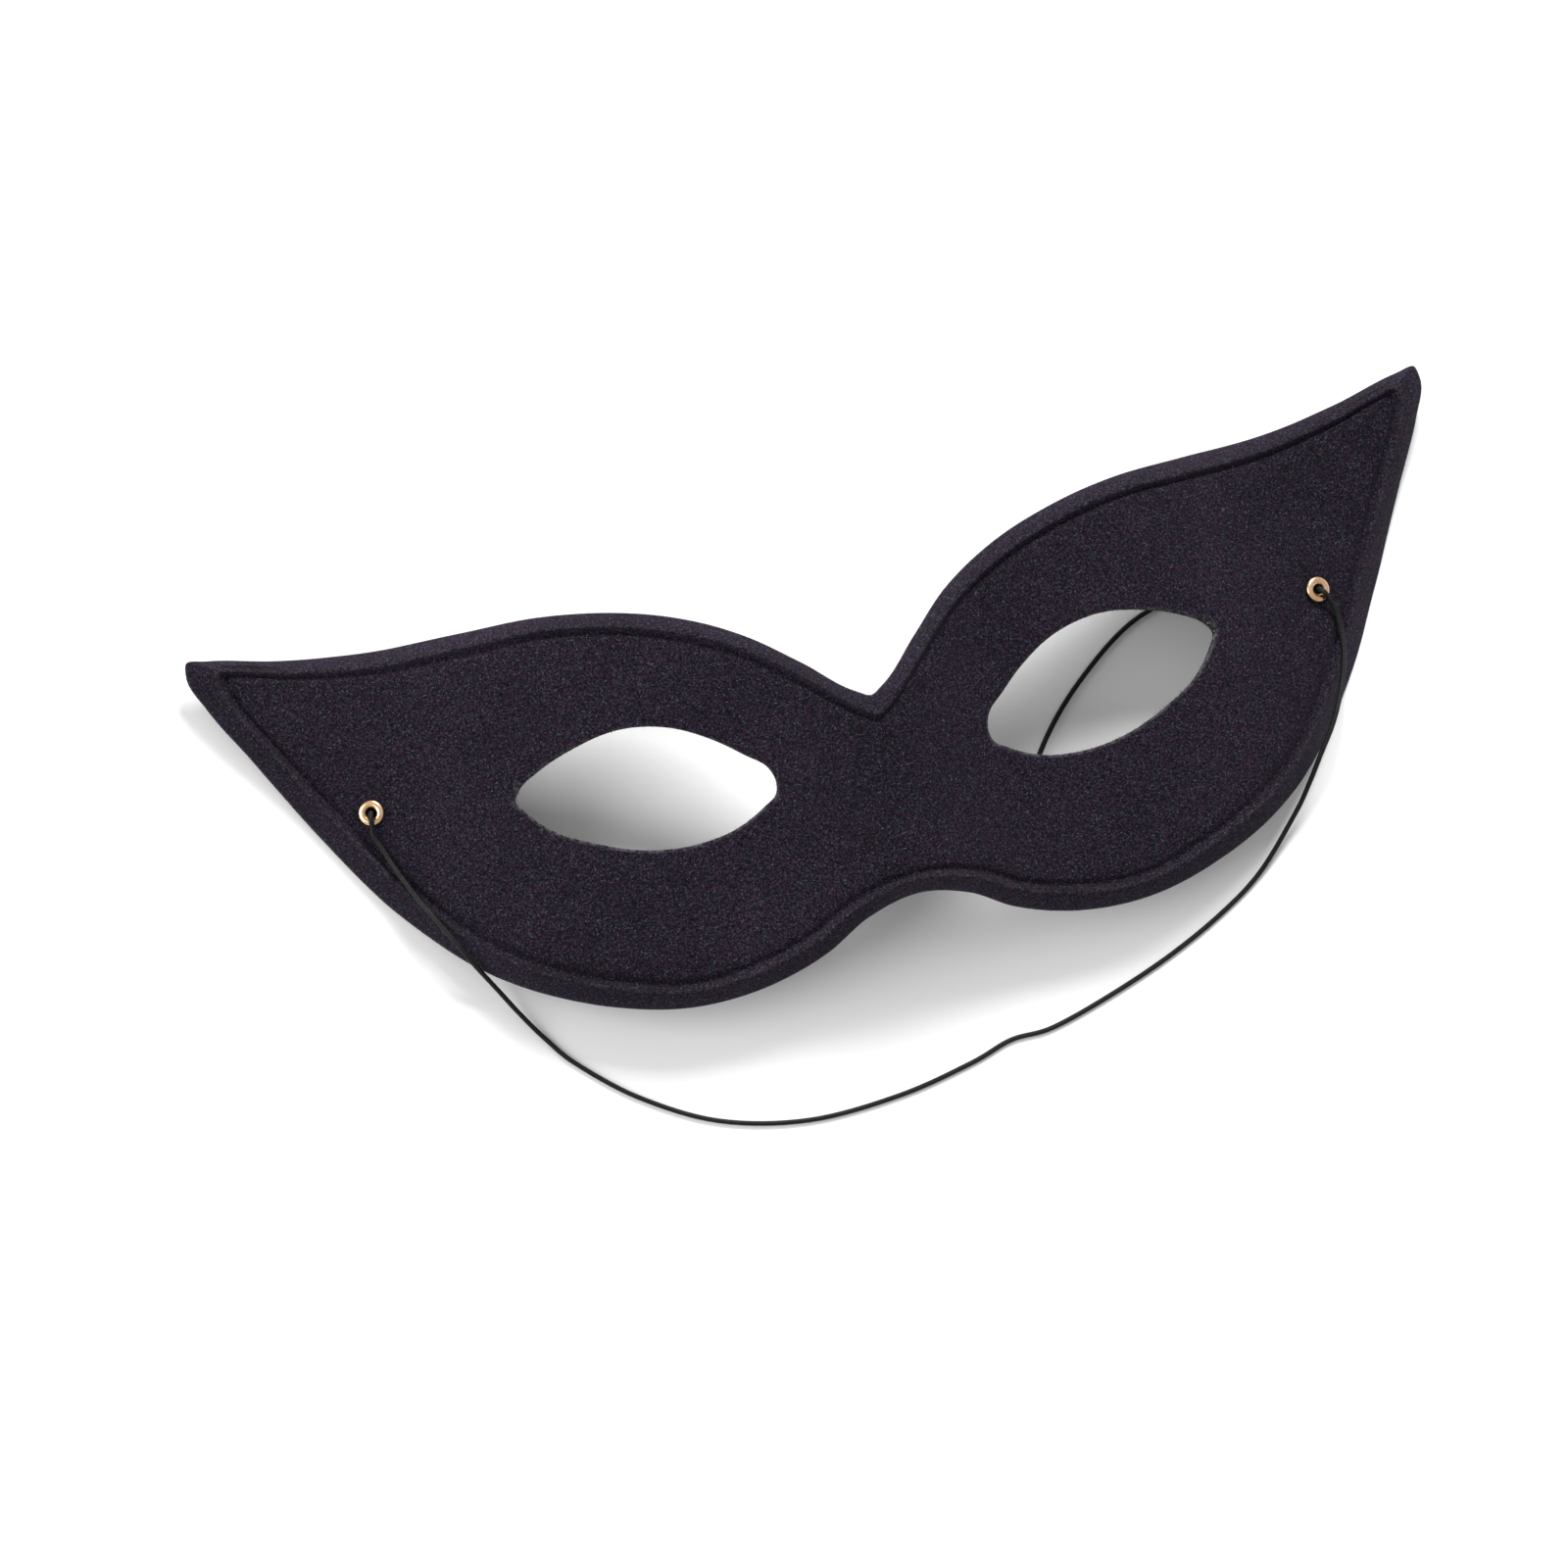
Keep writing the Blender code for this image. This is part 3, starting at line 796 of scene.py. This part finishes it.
def edge_fibres(piece):
    """Loose fibres rooted on the cut edges of the eyeholes and of the rim, standing off them."""
    chance = np.random.default_rng(FIBRE_SEED)
    mesh = piece.data
    lowest = FIBRE_OVER_TABLE * MM
    cut_faces = [poly for poly in mesh.polygons if poly.material_index == 2 and poly.center.z > lowest]
    share = np.array([poly.area for poly in cut_faces])
    pick = chance.choice(len(cut_faces), FIBRES, p=share / share.sum())
    verts, faces = [], []
    for place in pick:
        poly = cut_faces[place]
        weight = chance.dirichlet(np.ones(len(poly.vertices)))
        root = sum((mesh.vertices[i].co * float(w) for i, w in zip(poly.vertices, weight)), Vector())
        reach = (poly.normal + Vector(chance.normal(0.0, FIBRE_SPREAD, 3))).normalized()
        across = reach.cross(Vector(chance.normal(0.0, 1.0, 3))).normalized() * FIBRE_HALF_WIDTH * MM
        reach *= float(chance.uniform(FIBRE_SHORTEST, FIBRE_LONGEST)) * MM
        first = len(verts)
        foot = root - reach * FIBRE_ROOT_SHARE
        for spot in (foot - across, foot + across, root + reach):
            verts.append((spot.x, spot.y, max(spot.z, 0.0)))
        faces.append((first, first + 1, first + 2))
    made = bpy.data.meshes.new("edge_fibres")
    made.from_pydata(verts, [], faces)
    fibres = add_object("edge_fibres", made, fibre_material())
    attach(fibres, "root")


edge_fibres(shell())


def eyelet(side):
    """Rolled brass ring, barrel through the wall and flat flange behind, turned finely."""
    top, back = EYELET_GAP, -WALL - EYELET_GAP
    bore, barrel, flange = EYELET_HOLE_R, EYELET_BARREL_R, EYELET_FLANGE_R
    middle, half = (bore + flange) / 2.0, (flange - bore) / 2.0
    profile = []
    for i in range(RING_STEPS + 1):
        turn = math.pi * i / RING_STEPS
        rise = 0.45 * EYELET_RING + 0.55 * EYELET_RING * math.sin(turn)
        profile.append((middle - half * math.cos(turn), top + rise))
    profile += [
        (flange, top + 0.15 * EYELET_RING),
        (flange - 0.1, top),
        (barrel, top),
        (barrel, back),
        (flange - 0.25, back),
        (flange - 0.2, back - 0.5 * EYELET_BACK),
        (flange - 0.25, back - EYELET_BACK),
        (bore + 0.05, back - EYELET_BACK),
        (bore, back - 0.8 * EYELET_BACK),
    ]
    count = len(profile)
    verts, faces = [], []
    for i in range(EYELET_STEPS):
        turn = math.tau * i / EYELET_STEPS
        verts.extend((r * MM * math.cos(turn), r * MM * math.sin(turn), z * MM) for r, z in profile)
    for i in range(EYELET_STEPS):
        for j in range(count):
            a, b = i * count, (i + 1) % EYELET_STEPS * count
            k = (j + 1) % count
            faces.append((a + j, b + j, b + k, a + k))
    mesh = bpy.data.meshes.new("brass_eyelet_" + side)
    mesh.from_pydata(verts, [], faces)
    fixed = bmesh.new()
    fixed.from_mesh(mesh)
    bmesh.ops.recalc_face_normals(fixed, faces=fixed.faces)
    fixed.to_mesh(mesh)
    fixed.free()
    for poly in mesh.polygons:
        poly.use_smooth = True
    mesh.set_sharp_from_angle(angle=math.radians(50.0))
    piece = add_object("brass_eyelet_" + side, mesh, brass)
    piece.matrix_world = eyelet_frame(side)
    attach(piece, "root")
    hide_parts("eyelet_" + side)


for side in EYELETS:
    eyelet(side)


def floor():
    made = bmesh.new()
    bmesh.ops.create_grid(made, x_segments=1, y_segments=1, size=FLOOR_REACH)
    mesh = bpy.data.meshes.new("floor")
    made.to_mesh(mesh)
    made.free()
    piece = add_object("floor", mesh, floor_material())


def soft_light(name, place, power, width):
    lamp = bpy.data.lights.new(name, "AREA")
    lamp.energy = power
    lamp.size = width
    made = add_object(name, lamp)
    made.location = place
    made.rotation_euler = (-Vector(place)).to_track_quat("-Z", "Y").to_euler()


floor()
for name, place, power, width in LIGHTS:
    soft_light(name, place, power, width)

world = bpy.data.worlds.new("studio")
bpy.context.scene.world = world
world.use_nodes = True
world.node_tree.nodes["Background"].inputs["Color"].default_value = (1.0, 1.0, 1.0, 1.0)
world.node_tree.nodes["Background"].inputs["Strength"].default_value = WORLD_STRENGTH

bpy.context.scene.view_settings.view_transform = "Standard"
